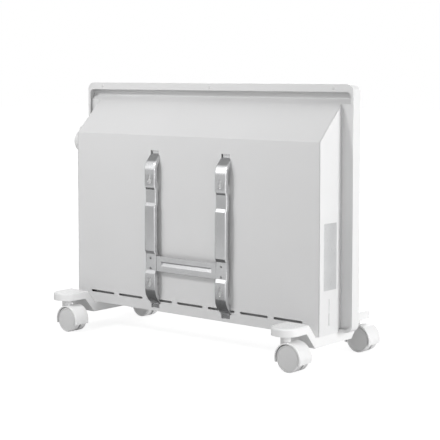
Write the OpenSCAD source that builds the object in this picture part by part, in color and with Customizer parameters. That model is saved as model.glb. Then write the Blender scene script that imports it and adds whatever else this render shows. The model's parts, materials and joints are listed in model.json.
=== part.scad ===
// Electric convector heater on two castor feet, with its wall bracket on the back.
// X runs across the heater, the front faces -Y, the back plate faces +Y, and Z is up from the floor.

/* [Front panel] */
// Width of the front panel
panel_w = 596; // [500:1:900]
// Height of the front panel
panel_h = 398; // [380:1:480]
// Depth of the front panel from its face to its rear rim
panel_d = 24; // [20:0.5:40]
// Corner radius of the front panel
corner_r = 13; // [9:0.5:24]
// Radius along the front edges of the front panel
edge_r = 6; // [2:0.5:8]
// Width of the rim that turns in behind the sides and the bottom
rim_w = 5; // [4:0.5:8]
// Height of the lip that turns down behind the top
lip_h = 12.4; // [10:0.2:18]
// Thickness of the painted sheet steel
sheet_t = 1.2; // [0.8:0.1:1.6]

/* [Case] */
// How far the front panel stands out past the case on each side
overhang = 25.5; // [22:0.5:40]
// Depth of the case behind its side flanges
case_d = 59; // [54:1:80]
// Distance from the top of the front panel down to the top of the side panels
slope_drop = 31.3; // [26:0.1:40]
// How far the middle of the heater lies behind the middle of the feet
body_shift = 3.5; // [0:0.5:8]
// How far the side flanges lie inside the rim of the front panel
flange_in = 6; // [4:0.5:9]
// How far the sloping top carries on above the side flanges
slope_run = 8; // [4:0.5:9]
// Depth of the flange along the bottom of the back plate
foot_flange = 15; // [12:1:24]

/* [Air slots] */
// Number of slots along the bottom of the back plate
slot_n = 7; // [3:1:12]
// Bridge of sheet between two slots
slot_bridge = 12; // [6:0.5:24]
// Distance from the side of the case to the row of slots
slot_side = 27.5; // [20:0.5:60]
// Height of one slot
slot_h = 4; // [2:0.2:6]
// Height of the slots above the openings for the wall bracket
slot_up = 1.8; // [1.5:0.1:6]
// Width of the fine slits in the side panel
slit_w = 1.2; // [0.8:0.1:2]
// Length of one fine slit
slit_l = 20.5; // [16:0.5:24]
// Width of one intake slot in the bottom plate
intake_w = 5; // [3:0.5:6]
// Distance between the intake slots in the bottom plate
intake_pitch = 14; // [11:0.5:20]

/* [Outlet grille] */
// Distance from the side of the front panel to the outlet window
window_side = 48; // [30:1:120]
// Height of the outlet window
window_h = 44; // [30:1:60]
// Distance from the top of the front panel to the window
window_top = 34; // [28:1:60]
// Number of blades in the outlet grille
blade_n = 4; // [2:1:6]
// Thickness of a grille blade
blade_t = 1.6; // [1.2:0.1:2]
// Tilt of the grille blades in degrees
blade_tilt = 30; // [15:1:40]
// Number of upright ribs that stiffen the grille
grille_rib_n = 9; // [5:1:13]

/* [Wall bracket] */
// Distance between the middles of the two bracket strips
strip_gap = 160; // [140:1:180]
// Width of a bracket strip
strip_w = 24; // [22:0.5:28]
// Thickness of the bracket steel
bracket_t = 1.5; // [1.2:0.1:2]
// Depth of the folded edges of a strip
fold_d = 7; // [5:0.5:8]
// Distance from the back plate to the face of the bracket
stand_off = 14.5; // [13:0.5:17]
// How far the low stretches of a strip are set back
joggle = 2.8; // [2:0.2:3.4]
// Length of the ramp between a high and a low stretch
ramp_l = 5.7; // [4:0.1:8]
// Radius of the bend at the upper end of a strip
bend_top = 24; // [14:1:24]
// Radius of the bend at the lower end of a strip
bend_low = 28; // [14:1:28]
// Angle by which the ends of a strip lean towards the back plate
lean = 42; // [34:1:46]
// Distance from the bottom of the case to the top of the lower openings for the strips
hook_low = 15.7; // [15:0.1:20]
// Height of the lower openings
hook_low_h = 10.2; // [9:0.1:10.6]
// Height of the upper openings
hook_high_h = 15.4; // [12:0.1:20]
// Distance from the lower end of a strip to the middle of its lower keyhole
key_low = 36.5; // [34:0.5:44]
// Distance between the lower and the upper keyholes
key_gap = 180; // [150:1:200]
// Diameter of the round end of a keyhole
key_d = 8.5; // [7:0.1:10]
// Width of the narrow end of a keyhole
key_slot = 4.5; // [4:0.1:5]
// Height of the crossbar
bar_h = 26.5; // [24:0.5:29]
// Height of the pressed rib in the crossbar
bar_rib_h = 8; // [6:0.5:10]
// Length of the pressed rib in the crossbar
bar_rib_l = 114; // [90:1:114]
// Diameter of the rivet heads
rivet_d = 5; // [4:0.2:6]
// Width of the tongues that hook into the back plate
tongue_w = 16; // [14:0.5:20]
// Room beside a tongue in its opening, on each side
tongue_side = 1.4; // [0.5:0.1:2.5]
// How far the upper tongues stand behind the back plate
tongue_set = 1.2; // [0:0.1:2]

/* [Feet] */
// Width of a foot
foot_w = 47; // [40:0.5:56]
// How far a foot lies in from the side of the case
foot_inset = 2; // [0:0.5:20]
// Thickness of the bar of a foot under the case
foot_bar = 17; // [12:0.5:22]
// Thickness of the pads over the castors
pad_t = 13; // [10:0.5:18]
// Drop from the underside of the pads to the underside of the bar
foot_drop = 26.5; // [20:0.5:30]
// Distance from the back plate to the arm that rises behind it
arm_gap = 4.5; // [3:0.5:12]
// Distance that an arm runs outwards while it rises
arm_run = 18.6; // [12:0.2:26]
// Thickness of the slanting arms
arm_t = 14.3; // [11:0.1:18]
// Radius of the soft edges on top of a foot
soft_r = 3; // [2:0.2:4]

/* [Castors] */
// Diameter of a castor wheel
wheel_d = 43.5; // [36:0.5:50]
// Width of one wheel of a twin castor
wheel_w = 13; // [8:0.5:14]
// Width of the bevel round the outer edge of a wheel
wheel_bevel = 2; // [0.6:0.1:3]
// Gap on each side of a wheel
wheel_gap = 0.4; // [0.3:0.05:1]
// Distance that the wheels trail behind the stem
trail = 14; // [10:0.5:18]
// Gap between the wheels and the hood
hood_gap = 1.2; // [1:0.1:4]
// Thickness of the hood
hood_t = 2.6; // [1.4:0.1:3]
// Distance from the top of the hood to the pad of the foot
neck_h = 8.7; // [4:0.1:20]
// Gap between a castor that swings round and the arm of the foot
swing_gap = 0.6; // [0.4:0.1:10]
// Height of the open ends of the hood above the floor
hood_end = 14.5; // [8:0.5:18]
// Thickness of the web between the wheels
web_t = 4.4; // [3:0.2:7]
// Diameter of the boss round the stem
boss_d = 17; // [12:0.5:20]
// Diameter of the steel stem
stem_d = 8; // [7:0.5:9]
// Diameter of the wheel axle
axle_d = 5; // [4:0.5:6]

/* [Controls] */
// Diameter of the thermostat knob
knob_d = 40; // [34:0.5:44]
// How far the knob stands out from the case
knob_h = 20; // [16:0.5:22]
// Distance of the knob below the top of the upright back plate
knob_drop = 17.5; // [10:0.5:120]
// Diameter of the thermostat spindle
spindle_d = 6; // [5:0.5:7]
// Gap between the knob and the frame of the switch below it
rocker_gap = 17.5; // [8:0.5:60]
// Height of the rocker switch key
rocker_h = 24; // [20:0.5:28]
// Width of the rocker switch key
rocker_w = 15; // [12:0.5:18]
// Travel of the rocker each way in degrees
rocker_tilt = 8; // [6:1:10]
// Diameter of the cord passage through the gland
gland_bore = 8; // [7:0.2:9]

/* [Heating parts] */
// Free space between the heating element and the left side panel
element_left = 50; // [40:1:120]
// Free space between the heating element and the right side panel
element_right = 82; // [80:1:160]
// Reach of each fin arm of the heating element
arm_l = 20; // [12:0.5:24]
// Thickness of the fins of the heating element
fin_t = 1.6; // [1.2:0.1:2]
// Diameter of the tube in the middle of the element
element_d = 10; // [8:0.5:12]
// Height of the heating element above the bottom of the case
element_z = 62; // [45:1:160]
// Distance from the back plate to the heat shield
shield_gap = 9; // [5:0.5:12]

/* [Fits] */
// Clearance between pieces that lie beside each other
play = 0.3; // [0.2:0.05:0.4]
// Seam between the back cover and the side panels
seam = 0.5; // [0.3:0.1:0.8]
// Radial clearance of a shaft that turns in a bore
running = 0.05; // [0.02:0.01:0.1]
// Radial clearance of a pin that is pressed into a hole
pressed = 0.02; // [0.01:0.01:0.05]

/* [Hidden] */
$fn = 64;

// Colours
paint = [0.93, 0.93, 0.92];
white_plastic = [0.96, 0.96, 0.95];
zinc = [0.72, 0.73, 0.75];
steel = [0.6, 0.61, 0.63];
black_plastic = [0.13, 0.13, 0.14];
alloy = [0.66, 0.67, 0.68];
ceramic = [0.9, 0.88, 0.82];

// Levels above the floor
axle_z = wheel_d / 2;
hood_r = wheel_d / 2 + hood_gap + hood_t;
hood_w = web_t + 2 * wheel_w + 4 * wheel_gap;
pad_z = axle_z + hood_r + neck_h;
pad_top = pad_z + pad_t;
bar_z = pad_z - foot_drop;
case_z = bar_z + foot_bar;
panel_z = case_z + play;
panel_top = panel_z + panel_h;
slope_z = panel_top - slope_drop;
fold_z = slope_z - case_d;

// Planes from front to back
plate_y = (case_d - flange_in + panel_d) / 2 + body_shift;
flange_y = plate_y - case_d;
rim_y = flange_y + flange_in;
front_y = rim_y - panel_d;
rim_top = panel_z + rim_w + play;
up_y = flange_y - slope_run;
up_top = panel_top - sheet_t - play;

// Widths
case_w = panel_w - 2 * overhang;
wall_x = case_w / 2 - sheet_t;
cover_w = case_w - 2 * sheet_t - 2 * seam;
tray_w = panel_w - 2 * sheet_t - 2 * play;
// Planes and heights of the wall bracket
high_y = plate_y + stand_off;
low_y = high_y - joggle;
tongue_lap = 2.6;
pad_below = 9.5;
pad_above = 18.2;
key_rise = 8.5;

// Height that a leaning end takes up from the start of its bend to the back plate
function lean_rise(r) = stand_off / tan(lean) + r * tan(lean / 2);
lean_t = bracket_t / sin(lean);

hook_low_top = case_z + hook_low;
strip_low = hook_low_top - play - lean_t + lean_rise(bend_low);
key_z = [hook_low_top - play - lean_t + key_low, hook_low_top - play - lean_t + key_low + key_gap];
strip_high = key_z[1] + pad_above + 1;
hook_high_mid = strip_high + lean_rise(bend_top);

// Each end: start of the bend, radius, 1 for up or -1 for down, end of the tongue, opening from and to,
// and how far the tongue stands behind the back plate
strip_ends = [
    [strip_low, bend_low, -1, hook_low_top - hook_low_h - tongue_lap,
     hook_low_top - hook_low_h, hook_low_top, 0],
    [strip_high, bend_top, 1, hook_high_mid + hook_high_h / 2 + tongue_lap,
     hook_high_mid - hook_high_h / 2, hook_high_mid + hook_high_h / 2, tongue_set]
];

seat_low = key_z[0] + pad_above + ramp_l;
bar_low = seat_low - 0.5;
bar_mid = bar_low + bar_h / 2;
seat_high = bar_low + bar_h + 2.5;
dip_high = key_z[1] - pad_below - ramp_l;
dip_l = 23;

// A sheet folded by 45 degrees is set off at the fold by this share of its thickness
fold_45 = tan(22.5);
eps = 0.01;

// Extrudes a YZ outline by l along +X
module along_x(l) {
    rotate([90, 0, 90]) linear_extrude(l) children();
}

// Extrudes an XZ outline by l along +Y
module along_y(l) {
    translate([0, l, 0]) rotate([90, 0, 0]) linear_extrude(l) children();
}

// Turns a revolved shape from the Z axis to the Y axis
module spin_y() {
    rotate([-90, 0, 0]) children();
}

// Rectangle with round corners, centred in x and standing on y = 0
module round_rect(w, h, r) {
    translate([-w / 2 + r, 0]) square([w - 2 * r, h]);
    translate([-w / 2, r]) square([w, h - 2 * r]);
    for (x = [-1, 1], y = [r, h - r])
        translate([x * (w / 2 - r), y]) circle(r);
}

// Slot with round ends, centred
module stadium(l, h) {
    square([l - h, h], center = true);
    for (s = [-1, 1])
        translate([s * (l - h) / 2, 0]) circle(h / 2);
}

// Solid tray body: round corners seen from the front and a radius along the front edges
module soft_body(w, h, d, rc, re) {
    translate([-w / 2 + rc, 0, 0])
        along_x(w - 2 * rc) {
            translate([re, 0]) square([d - re, h]);
            translate([0, re]) square([d, h - 2 * re]);
            for (z = [re, h - re])
                translate([re, z]) circle(re);
        }
    translate([0, 0, rc])
        linear_extrude(h - 2 * rc) {
            translate([-w / 2, re]) square([w, d - re]);
            translate([-w / 2 + re, 0]) square([w - 2 * re, d]);
            for (s = [-1, 1])
                translate([s * (w / 2 - re), re]) circle(re);
        }
    for (x = [-1, 1], z = [rc, h - rc])
        translate([x * (w / 2 - rc), 0, z])
            spin_y() rotate_extrude() {
                translate([0, re]) square([rc, d - re]);
                square([rc - re, d]);
                intersection() {
                    translate([rc - re, re]) circle(re);
                    square([rc, d]);
                }
            }
}

// Outline of the free space inside the tray, less a margin
module tray_space(margin) {
    translate([0, panel_z + sheet_t + margin])
        round_rect(panel_w - 2 * sheet_t - 2 * margin, panel_h - 2 * sheet_t - 2 * margin,
                   corner_r - sheet_t - margin);
}

// Front panel

window_w = panel_w - 2 * window_side;
window_z = panel_top - window_top - window_h;
lip_screw_x = [-wall_x + 12, 0, wall_x - 12];
lip_mid_z = panel_top - lip_h / 2;
screw_d = 3;
screw_head_d = 6;
screw_head_h = 1.2;

module front_panel() {
    color(paint)
    difference() {
        union() {
            translate([0, front_y, panel_z])
                difference() {
                    soft_body(panel_w, panel_h, panel_d, corner_r, edge_r);
                    translate([0, sheet_t, sheet_t])
                        soft_body(panel_w - 2 * sheet_t, panel_h - 2 * sheet_t, panel_d,
                                  corner_r - sheet_t, edge_r - sheet_t);
                }
            translate([0, rim_y - sheet_t, panel_z])
                along_y(sheet_t)
                    difference() {
                        round_rect(panel_w, panel_h, corner_r);
                        translate([0, rim_w])
                            round_rect(panel_w - 2 * rim_w, panel_h - rim_w - lip_h,
                                       max(corner_r - rim_w, 1));
                    }
        }
        translate([0, front_y - 1, window_z])
            along_y(sheet_t + 2) round_rect(window_w, window_h, 4);
        for (x = lip_screw_x)
            translate([x, rim_y - sheet_t - 1, lip_mid_z]) spin_y() cylinder(d = screw_d + 2 * play, h = sheet_t + 2);
        for (s = [-1, 1])
            translate([s * foot_x, foot_screw_front, panel_z - 1])
                cylinder(d = foot_screw_d + 2 * play, h = sheet_t + 2);
    }
}

// Outlet grille behind the window of the front panel

grille_back_t = 2;
grille_depth = 10;
grille_edge = 6;

module outlet_grille() {
    color(black_plastic)
    translate([0, front_y, window_z]) {
        translate([0, sheet_t, -grille_edge])
            along_y(grille_back_t)
                difference() {
                    round_rect(window_w + 2 * grille_edge, window_h + 2 * grille_edge, 4 + grille_edge);
                    translate([0, grille_edge + blade_t])
                        round_rect(window_w - 2 * blade_t, window_h - 2 * blade_t, 3);
                }
        translate([0, 0, play])
            along_y(grille_depth)
                difference() {
                    round_rect(window_w - 2 * play, window_h - 2 * play, 4 - play);
                    translate([0, blade_t])
                        round_rect(window_w - 2 * play - 2 * blade_t, window_h - 2 * play - 2 * blade_t, 2.5);
                }
        intersection() {
            translate([-window_w / 2 + 2 * play, 0.4, 2 * play])
                cube([window_w - 4 * play, grille_depth - 0.4, window_h - 4 * play]);
            union() {
                for (i = [1 : blade_n])
                    translate([0, grille_depth / 2, i * window_h / (blade_n + 1)])
                        rotate([-blade_tilt, 0, 0])
                            cube([window_w, 1.4 * grille_depth, blade_t], center = true);
                for (i = [1 : grille_rib_n])
                    translate([-window_w / 2 + i * window_w / (grille_rib_n + 1), grille_depth * 0.65, window_h / 2])
                        cube([blade_t, grille_depth * 0.6, window_h], center = true);
            }
        }
    }
}

// Back cover: the back plate, the slope above it and the strip inside the tray are one folded sheet

slot_pitch = (case_w - 2 * slot_side) / slot_n;
slot_l = slot_pitch - slot_bridge;
slot_z = case_z + hook_low + slot_up + slot_h / 2;
hook_open_w = tongue_w + 2 * tongue_side;
foot_screw_d = 4;
foot_screw_rear = plate_y - 8;
foot_screw_front = (front_y + rim_y) / 2;
foot_x = case_w / 2 - foot_inset - foot_w / 2;

function cover_outline() = let (t = sheet_t, s = plate_y + fold_z) [
    [plate_y - foot_flange, case_z],
    [plate_y, case_z],
    [plate_y, fold_z],
    [up_y, s - up_y],
    [up_y, up_top],
    [up_y - t, up_top],
    [up_y - t, s - up_y - t * fold_45],
    [plate_y - t, fold_z - t * fold_45],
    [plate_y - t, case_z + t],
    [plate_y - foot_flange, case_z + t]
];

module cover_sheet(w) {
    translate([-w / 2, 0, 0]) along_x(w) polygon(cover_outline());
}

module back_cover() {
    color(paint)
    difference() {
        union() {
            cover_sheet(cover_w);
            intersection() {
                cover_sheet(tray_w);
                translate([-tray_w / 2, up_y - 2 * sheet_t, slope_z])
                    cube([tray_w, case_d, up_top - slope_z]);
                translate([0, up_y - 2 * sheet_t, 0])
                    along_y(case_d) tray_space(play);
            }
        }
        for (i = [0 : slot_n - 1])
            translate([(i - (slot_n - 1) / 2) * slot_pitch, plate_y - 2 * sheet_t, slot_z])
                along_y(3 * sheet_t) stadium(slot_l, slot_h);
        for (s = [-1, 1]) {
            for (e = strip_ends)
                translate([s * strip_gap / 2 - hook_open_w / 2, plate_y - 2 * sheet_t, e[4]])
                    cube([hook_open_w, 3 * sheet_t, e[5] - e[4]]);
            translate([s * foot_x, foot_screw_rear, case_z - 1])
                cylinder(d = foot_screw_d + 2 * play, h = sheet_t + 2);
        }
    }
}

// Side panels with the flanges that close the tray beside the case

tab_w = 12;

module side_sheet() {
    translate([wall_x, 0, 0])
        along_x(sheet_t)
            polygon([
                [flange_y - sheet_t, rim_top],
                [rim_y + play, rim_top],
                [rim_y + play, case_z],
                [plate_y, case_z],
                [plate_y, fold_z],
                [flange_y, slope_z],
                [flange_y - sheet_t, slope_z]
            ]);
    intersection() {
        translate([wall_x, flange_y - sheet_t, case_z])
            cube([tray_w / 2 - wall_x, sheet_t, slope_z - case_z]);
        translate([0, flange_y - 2 * sheet_t, 0])
            along_y(3 * sheet_t) tray_space(play);
    }
    translate([wall_x - tab_w, plate_y - 2 * sheet_t, case_z + 2 * tab_w])
        cube([tab_w + sheet_t / 2, sheet_t, fold_z - case_z - 3 * tab_w]);
}

slit_y = plate_y - 26;
slit_low = 14;
slit_step = slit_l + 2.5;

module side_panel_left() {
    color(paint)
    mirror([1, 0, 0])
    difference() {
        side_sheet();
        for (i = [0, 1])
            translate([wall_x - 1, slit_y - slit_w / 2, case_z + slit_low + i * slit_step])
                cube([sheet_t + 2, slit_w, slit_l]);
    }
}

bushing_d = spindle_d + 4;
housing_w = rocker_w + 5;
housing_h = rocker_h + 5;
knob_y = plate_y - case_d / 2;
knob_up = fold_z - knob_drop;
rocker_up = knob_up - knob_d / 2 - rocker_gap - housing_h / 2;
gland_up = case_z + 34;
gland_thread_d = gland_bore + 6;

module side_panel_right() {
    color(paint)
    difference() {
        side_sheet();
        translate([wall_x - 1, knob_y, knob_up])
            rotate([0, 90, 0]) cylinder(d = bushing_d + 2 * play, h = sheet_t + 2);
        translate([wall_x - 1, knob_y - housing_w / 2 - play, rocker_up - housing_h / 2 - play])
            cube([sheet_t + 2, housing_w + 2 * play, housing_h + 2 * play]);
        translate([wall_x - 1, knob_y, gland_up])
            rotate([0, 90, 0]) cylinder(d = gland_thread_d + 2 * play, h = sheet_t + 2);
    }
}

// Bottom plate with the air intake slots

bottom_z = case_z + sheet_t;
bottom_w = case_w - 2 * sheet_t - 2 * play;
bottom_front = rim_y + play;
bottom_l = plate_y - sheet_t - play - bottom_front;

module bottom_plate() {
    intake_l = (bottom_l - foot_flange - 12) / 2;
    intake_n = 2 * floor((foot_x - foot_w) / intake_pitch);
    color(paint)
    difference() {
        translate([-bottom_w / 2, bottom_front, bottom_z])
            cube([bottom_w, bottom_l, sheet_t]);
        for (i = [0 : intake_n], row = [0, 1])
            translate([(i - intake_n / 2) * intake_pitch,
                       bottom_front + 4 + intake_l / 2 + row * (intake_l + 4), bottom_z - 1])
                linear_extrude(sheet_t + 2) rotate([0, 0, 90]) stadium(intake_l, intake_w);
        for (s = [-1, 1])
            translate([s * foot_x, foot_screw_rear, bottom_z - 1])
                cylinder(d = foot_screw_d + 2 * play, h = sheet_t + 2);
    }
}

// Clips between the case and the rim of the front panel, and the screws through the lip

clip_w = 14;
clip_h = 10;
clip_t = 8;
lip_screw_l = 10;

module panel_clips() {
    lip_face = rim_y - sheet_t;
    color(steel) {
        for (x = lip_screw_x)
            difference() {
                translate([x - clip_w / 2, up_y, lip_mid_z - clip_h / 2])
                    cube([clip_w, lip_face - up_y, clip_h]);
                translate([x, lip_face - lip_screw_l - 1, lip_mid_z])
                    spin_y() cylinder(d = screw_d + 2 * pressed, h = lip_screw_l + 2);
            }
        for (s = [-1, 1], z = [case_z + 3 * tab_w, slope_z - 3 * tab_w])
            translate([s * (panel_w / 2 - sheet_t - clip_w / 2) - clip_w / 2, flange_y - sheet_t - clip_t, z])
                cube([clip_w, clip_t, 1.5 * clip_w]);
    }
}

module lip_screws() {
    color(paint)
    for (x = lip_screw_x)
        translate([x, rim_y, lip_mid_z]) {
            spin_y() cylinder(d1 = screw_head_d, d2 = screw_head_d * 0.7, h = screw_head_h);
            translate([0, -lip_screw_l, 0]) spin_y() cylinder(d = screw_d, h = lip_screw_l + eps);
        }
}

// Heating parts inside the case

shield_y = plate_y - sheet_t - shield_gap;
shield_x0 = element_left - wall_x - 5;
shield_x1 = wall_x - element_right + 16;
shield_z0 = slot_z + slot_h + tab_w + 2;
shield_z1 = strip_ends[1][4] - tab_w - 4;
shield_t = 0.8;
element_y = (flange_y + shield_y) / 2;
element_up = case_z + element_z;
element_l = 2 * wall_x - element_left - element_right;
element_x = (element_left - element_right) / 2;

module heat_shield() {
    color(alloy)
    translate([shield_x0, 0, 0])
        along_x(shield_x1 - shield_x0) {
            translate([shield_y - shield_t, shield_z0]) square([shield_t, shield_z1 - shield_z0]);
            for (z = [shield_z0, shield_z1 - shield_t])
                translate([shield_y - shield_t, z]) square([shield_gap + shield_t, shield_t]);
            for (z = [shield_z0 - tab_w, shield_z1])
                translate([plate_y - sheet_t - shield_t, z]) square([shield_t, tab_w]);
        }
}

// Four fin arms at 45 degrees, each with short cross fins, round the tube
module element_section() {
    difference() {
        union() {
            circle(d = element_d + 2 * fin_t);
            for (a = [45 : 90 : 315])
                rotate(a) {
                    translate([0, -fin_t / 2]) square([arm_l, fin_t]);
                    for (k = [1 : 3])
                        translate([element_d / 2 + k * (arm_l - element_d / 2) / 3 - fin_t, -k * arm_l / 9])
                            square([fin_t, 2 * k * arm_l / 9]);
                }
        }
        circle(d = element_d);
    }
}

module heating_element() {
    color(alloy)
    translate([element_x - element_l / 2, element_y, element_up])
        along_x(element_l) element_section();
}

insulator_l = 22;
insulator_plug = 14;
element_plate_t = 1.2;

module element_insulators() {
    color(ceramic)
    for (s = [-1, 1])
        translate([element_x + s * element_l / 2, element_y, element_up])
            rotate([0, s * 90, 0]) {
                translate([0, 0, -insulator_plug]) cylinder(d = element_d - 2 * pressed, h = insulator_plug + 1);
                cylinder(d = element_d + 4, h = 6);
                cylinder(d = element_d, h = insulator_l);
            }
}

module element_brackets() {
    base_z = bottom_z + sheet_t;
    w = 26;
    color(steel)
    for (s = [-1, 1])
        translate([element_x + s * (element_l / 2 + 6 + element_plate_t), 0, 0])
            mirror([s > 0 ? 1 : 0, 0, 0]) {
                difference() {
                    translate([0, element_y - w / 2, base_z])
                        cube([element_plate_t, w, element_up - base_z + element_d]);
                    translate([-1, element_y, element_up])
                        rotate([0, 90, 0]) cylinder(d = element_d + 2 * pressed, h = element_plate_t + 2);
                }
                translate([0, element_y - w / 2, base_z]) cube([12, w, element_plate_t]);
            }
}

cutout_d = 16;
cutout_up = element_up + arm_l + 24;

module thermal_cutout() {
    h = 7;
    color(black_plastic)
    translate([element_x + 40, shield_y - shield_t, cutout_up])
        rotate([90, 0, 0]) {
            cylinder(d = cutout_d, h = h);
            translate([-cutout_d * 0.8, -cutout_d / 4, 0]) cube([cutout_d * 1.6, cutout_d / 2, 1]);
            for (s = [-1, 1])
                translate([s * 4 - 0.4, -3, h - 0.5]) cube([0.8, 6, 8]);
        }
}

block_x = wall_x - 52;
block_l = 40;
block_w = 18;
block_h = 16;

module terminal_block() {
    color(ceramic)
    translate([block_x - block_l / 2, knob_y - block_w / 2, bottom_z + sheet_t])
        difference() {
            cube([block_l, block_w, block_h]);
            for (i = [-1 : 1])
                translate([block_l / 2 + i * block_l / 3, block_w / 2, 4])
                    cylinder(d = 7, h = block_h);
            for (i = [-1 : 1])
                translate([block_l / 2 + i * block_l / 3, -1, block_h / 3])
                    spin_y() cylinder(d = 4, h = block_w + 2);
        }
}

tilt_l = 18;

module tilt_switch() {
    color(black_plastic)
    translate([wall_x - tilt_l - 2, knob_y + block_w / 2 + 2, bottom_z + sheet_t]) {
        cube([tilt_l, 12, 26]);
        translate([tilt_l / 2, 1, 14]) rotate([90, 0, 0]) cylinder(d = 14, h = 3);
    }
}

// Controls on the right side panel

thermo_depth = 26;
bushing_out = 6;
bezel_t = 2;
bezel_w = knob_d + 6;

module thermostat_body() {
    w = 30;
    h = 36;
    color(steel)
    translate([0, knob_y, knob_up])
        difference() {
            union() {
                translate([wall_x - thermo_depth, -w / 2, -h / 2]) cube([thermo_depth, w, h]);
                translate([wall_x - 1, 0, 0])
                    rotate([0, 90, 0]) cylinder(d = bushing_d, h = sheet_t + bushing_out + 1);
            }
            translate([wall_x - thermo_depth + 6, 0, 0])
                rotate([0, 90, 0]) cylinder(d = spindle_d + 2 * running, h = thermo_depth + sheet_t + bushing_out);
        }
}

knob_gap = 1;
knob_face = case_w / 2 + knob_h;
knob_wall = 3;

module thermostat_spindle() {
    start = wall_x - thermo_depth + 6 + play;
    color(steel)
    translate([start, knob_y, knob_up])
        rotate([0, 90, 0]) cylinder(d = spindle_d, h = knob_face - knob_wall - play - start);
}

module thermostat_knob() {
    back = case_w / 2 + bezel_t + knob_gap;
    h = knob_face - back;
    r = knob_d / 2;
    round_r = 2.5;
    cup_h = bushing_out - bezel_t - knob_gap + 1.5;
    color(white_plastic)
    translate([back, knob_y, knob_up])
        rotate([0, 90, 0])
            difference() {
                union() {
                    rotate_extrude() {
                        square([r, h - round_r]);
                        square([r - round_r, h]);
                        intersection() {
                            translate([r - round_r, h - round_r]) circle(round_r);
                            square([r, h]);
                        }
                    }
                }
                translate([0, 0, -1]) cylinder(r = r - knob_wall, h = cup_h + 1);
                translate([0, 0, -1]) cylinder(d = spindle_d + 2 * pressed, h = h - knob_wall + 1);
                translate([-r + 1.5, -0.8, h - 0.8]) cube([r * 0.55, 1.6, 2]);
            }
}

module control_bezel() {
    top = knob_up + knob_d / 2 + 8;
    low = rocker_up - housing_h / 2 - 10;
    color(white_plastic)
    translate([case_w / 2, 0, 0])
        difference() {
            translate([0, knob_y, low])
                rotate([0, 0, -90]) along_y(bezel_t) round_rect(bezel_w, top - low, 6);
            translate([-1, knob_y, knob_up])
                rotate([0, 90, 0]) cylinder(d = bushing_d + 2 * play, h = bezel_t + 2);
            translate([-1, knob_y - housing_w / 2 - play, rocker_up - housing_h / 2 - play])
                cube([bezel_t + 2, housing_w + 2 * play, housing_h + 2 * play]);
        }
}

housing_depth = 22;
housing_edge = 2;
key_pivot_x = case_w / 2 - 2;
pin_d = 3;

module switch_housing() {
    front = case_w / 2 + bezel_t + play;
    back = front - housing_depth;
    inner_w = rocker_w + 2 * play;
    inner_h = rocker_h + 2 * play;
    color(black_plastic)
    translate([0, knob_y, rocker_up])
        difference() {
            union() {
                translate([back, -housing_w / 2, -housing_h / 2]) cube([housing_depth, housing_w, housing_h]);
                translate([front, -housing_w / 2 - housing_edge, -housing_h / 2 - housing_edge])
                    cube([1.2, housing_w + 2 * housing_edge, housing_h + 2 * housing_edge]);
            }
            translate([back + 4, -inner_w / 2, -inner_h / 2])
                cube([housing_depth, inner_w, inner_h]);
            translate([key_pivot_x, -housing_w, 0])
                spin_y() cylinder(d = pin_d + 2 * pressed, h = 2 * housing_w);
        }
}

module rocker_pin() {
    color(steel)
    translate([key_pivot_x, knob_y - housing_w / 2 + 0.5, rocker_up])
        spin_y() cylinder(d = pin_d, h = housing_w - 1);
}

// The key is cut from a drum round the pin, so that it turns inside its frame
module power_rocker() {
    face = case_w / 2 + bezel_t + 2.5 - key_pivot_x;
    r = rocker_h / 2 / cos(rocker_tilt) - 0.4;
    color(black_plastic)
    translate([key_pivot_x, knob_y - rocker_w / 2, rocker_up])
        difference() {
            intersection() {
                spin_y() cylinder(r = r, h = rocker_w);
                translate([-5, 0, 0])
                    along_y(rocker_w)
                        polygon([
                            [0, -r],
                            [5 + face + r * tan(rocker_tilt), -r],
                            [5 + face, 0],
                            [5 + face + r * tan(rocker_tilt), r],
                            [0, r]
                        ]);
            }
            translate([0, -1, 0]) spin_y() cylinder(d = pin_d + 2 * running, h = rocker_w + 2);
        }
}

module cord_gland() {
    flange_d = gland_thread_d + 6;
    color(black_plastic)
    translate([case_w / 2, knob_y, gland_up])
        rotate([0, 90, 0])
            difference() {
                union() {
                    cylinder(d1 = flange_d, d2 = flange_d - 4, h = 4);
                    translate([0, 0, -sheet_t - 9]) cylinder(d = gland_thread_d, h = sheet_t + 10);
                    translate([0, 0, -sheet_t - 5]) cylinder(d = flange_d, h = 5);
                }
                translate([0, 0, -20]) cylinder(d = gland_bore, h = 40);
            }
}

// Wall bracket

// Points along the bend of an end, on the line set back by d from the outer face
function bend(e, d) = [for (i = [0 : 12]) let (b = lean * i / 12)
    [high_y - e[1] + (e[1] - d) * cos(b), e[0] + e[2] * (e[1] - d) * sin(b)]];

// Point where the same line meets the back plate
function lean_end(e, d) = let (p = bend(e, d)[12])
    [plate_y, p[1] + e[2] * (p[0] - plate_y) / tan(lean)];

// One face line of a strip, set back by d from the outer face
function strip_line(d) = concat(
    [lean_end(strip_ends[0], d)],
    [for (i = [12 : -1 : 0]) bend(strip_ends[0], d)[i]],
    [
        [high_y - d, key_z[0] + pad_above],
        [low_y - d, seat_low],
        [low_y - d, seat_high],
        [high_y - d, seat_high + ramp_l],
        [high_y - d, dip_high - dip_l - ramp_l],
        [low_y - d, dip_high - dip_l],
        [low_y - d, dip_high],
        [high_y - d, dip_high + ramp_l]
    ],
    bend(strip_ends[1], d),
    [lean_end(strip_ends[1], d)]
);

function reversed(v) = [for (i = [len(v) - 1 : -1 : 0]) v[i]];

module strip_band(depth) {
    polygon(concat(strip_line(0), reversed(strip_line(depth))));
}

module keyhole_cut() {
    translate([0, plate_y + bracket_t, 0]) {
        spin_y() cylinder(d = key_d, h = stand_off);
        translate([-key_slot / 2, 0, 0]) cube([key_slot, stand_off, key_rise]);
        translate([0, 0, key_rise]) spin_y() cylinder(d = key_slot, h = stand_off);
    }
}

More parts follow.
